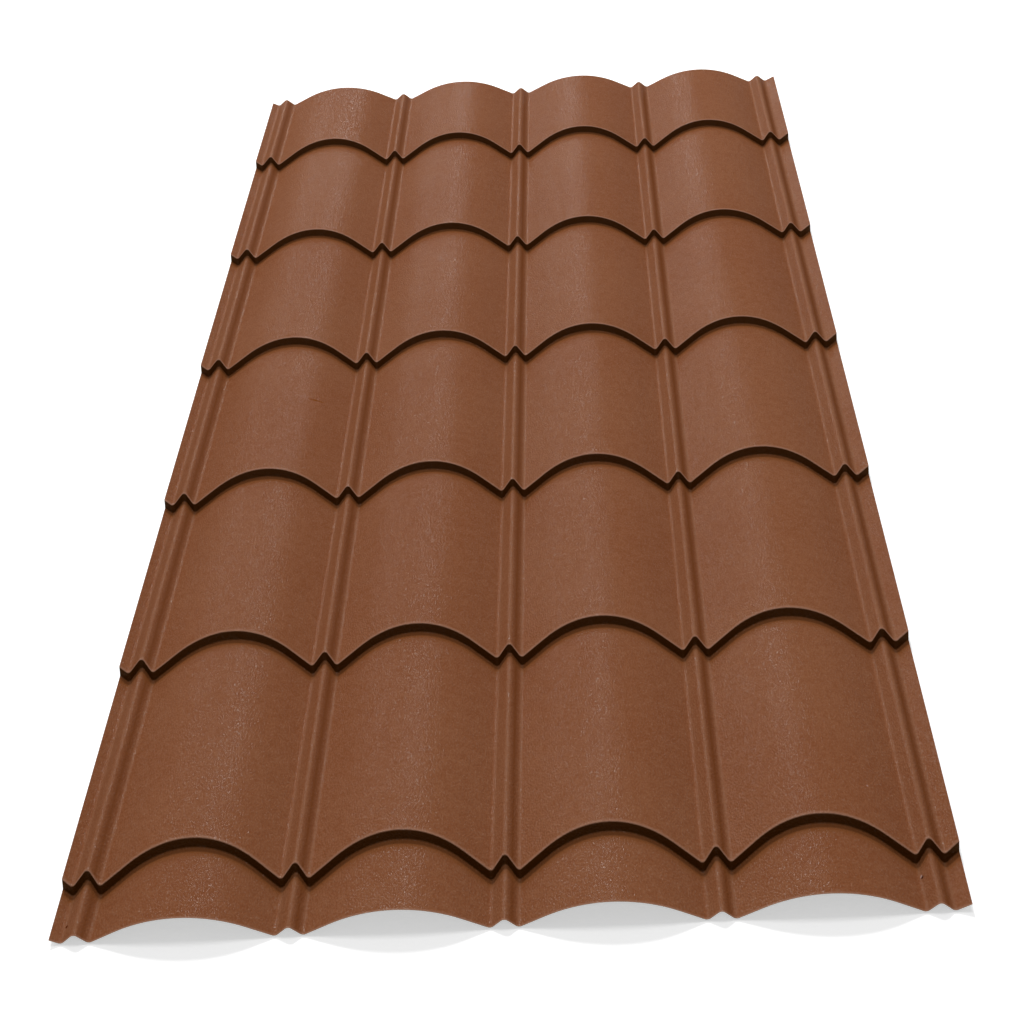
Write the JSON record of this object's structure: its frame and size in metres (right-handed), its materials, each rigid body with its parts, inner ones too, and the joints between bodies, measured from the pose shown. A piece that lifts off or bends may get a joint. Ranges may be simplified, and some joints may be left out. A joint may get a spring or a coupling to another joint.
{
  "type": "tile effect metal roofing sheet",
  "caption": "Long pressed steel roofing sheet with broad tile-shaped barrels, narrow ribs between them and scalloped steps across it, coated brown.",
  "frame": {"origin": "centre of the footprint, on the level surface that the sheet lies on", "axes": "+X across the sheet, to the right in the picture; +Y up the roof slope, from the eaves end to the top end; +Z out of the painted face"},
  "size_m": [0.8524, 2.1, 0.035],
  "materials": {
    "coated_steel": "matte, finely textured"
  },
  "bodies": {
    "root": {"roofing_sheet": "coated_steel"}
  },
  "joints": []
}
